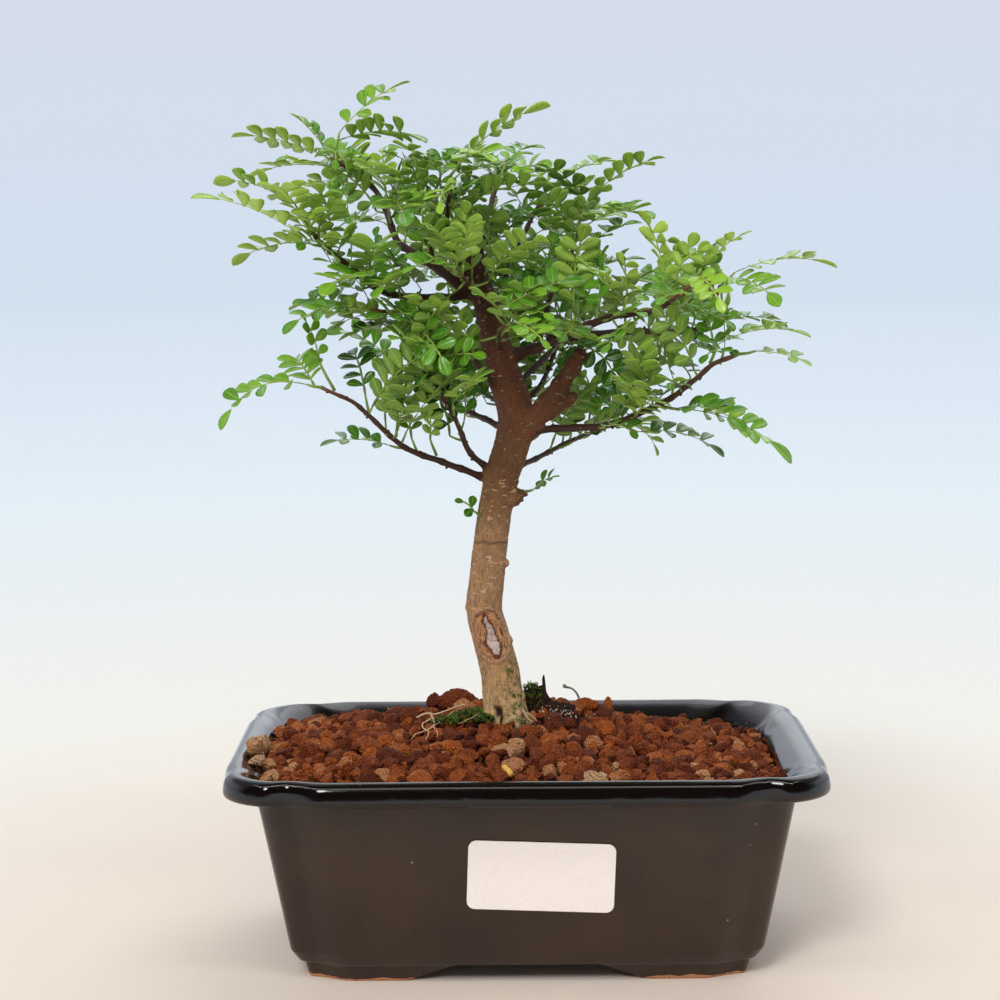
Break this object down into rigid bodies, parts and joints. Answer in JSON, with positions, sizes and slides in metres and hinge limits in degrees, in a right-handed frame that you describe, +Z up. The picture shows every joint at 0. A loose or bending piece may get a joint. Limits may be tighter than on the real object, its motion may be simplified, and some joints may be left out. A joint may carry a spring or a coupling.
{
  "type": "bonsai tree",
  "caption": "Chinese pepper trained as a small upright bonsai: curved trunk, wide airy crown of pinnate leaves, red-brown clay granules and a glazed rectangular pot.",
  "frame": {"origin": "on the ground, under the middle of the pot and of the crown's box", "axes": "+Z up the trunk, +X to the viewer's right along the pot's long side, -Y towards the viewer"},
  "size_m": [0.1888, 0.128, 0.2672],
  "materials": {
    "glazed_stoneware": "gloss",
    "plastic_mesh": "matte",
    "akadama_clay": "matte, granular",
    "sticker_paper": "satin",
    "pepper_bark": "rough bark",
    "pepper_leaf": "satin leaf"
  },
  "bodies": {
    "root": {"back_high_end": "pepper_leaf", "back_left_end": "pepper_leaf", "back_low_end": "pepper_leaf", "back_middle_end": "pepper_leaf", "back_right_end": "pepper_leaf", "back_right_high_end": "pepper_leaf", "crown_back": "pepper_leaf", "crown_end": "pepper_leaf", "crown_front": "pepper_leaf", "crown_left": "pepper_leaf", "drain_screen_left": "plastic_mesh", "drain_screen_right": "plastic_mesh", "far_left": "pepper_leaf", "far_right": "pepper_leaf", "front_high_end": "pepper_leaf", "front_low_end": "pepper_leaf", "leader_end": "pepper_leaf", "left_knot_tuft": "pepper_leaf", "low_left_bud": "pepper_leaf", "low_left_drop": "pepper_leaf", "low_left_end": "pepper_leaf", "low_left_lift": "pepper_leaf", "low_left_mid": "pepper_leaf", "low_left_rise": "pepper_leaf", "lowest_end": "pepper_leaf", "mid_left_end": "pepper_leaf", "mid_left_front": "pepper_leaf", "mid_left_side": "pepper_leaf", "middle_rising_end": "pepper_leaf", "pot": "glazed_stoneware", "right_knot_tuft": "pepper_leaf", "right_low_drop": "pepper_leaf", "right_low_end": "pepper_leaf", "right_low_front": "pepper_leaf", "right_low_rise": "pepper_leaf", "right_low_under": "pepper_leaf", "right_middle_back": "pepper_leaf", "right_middle_side": "pepper_leaf", "right_rising_end": "pepper_leaf", "right_rising_side": "pepper_leaf", "right_upper_end": "pepper_leaf", "right_upper_inner": "pepper_leaf", "right_upper_rise": "pepper_leaf", "rising_end": "pepper_leaf", "rising_side": "pepper_leaf", "soil": "akadama_clay", "spur_a_end": "pepper_leaf", "spur_b_end": "pepper_leaf", "sticker": "sticker_paper", "trunk": "pepper_bark", "upper_left_end": "pepper_leaf", "upper_left_front": "pepper_leaf", "upper_left_inner": "pepper_leaf"}
  },
  "joints": []
}
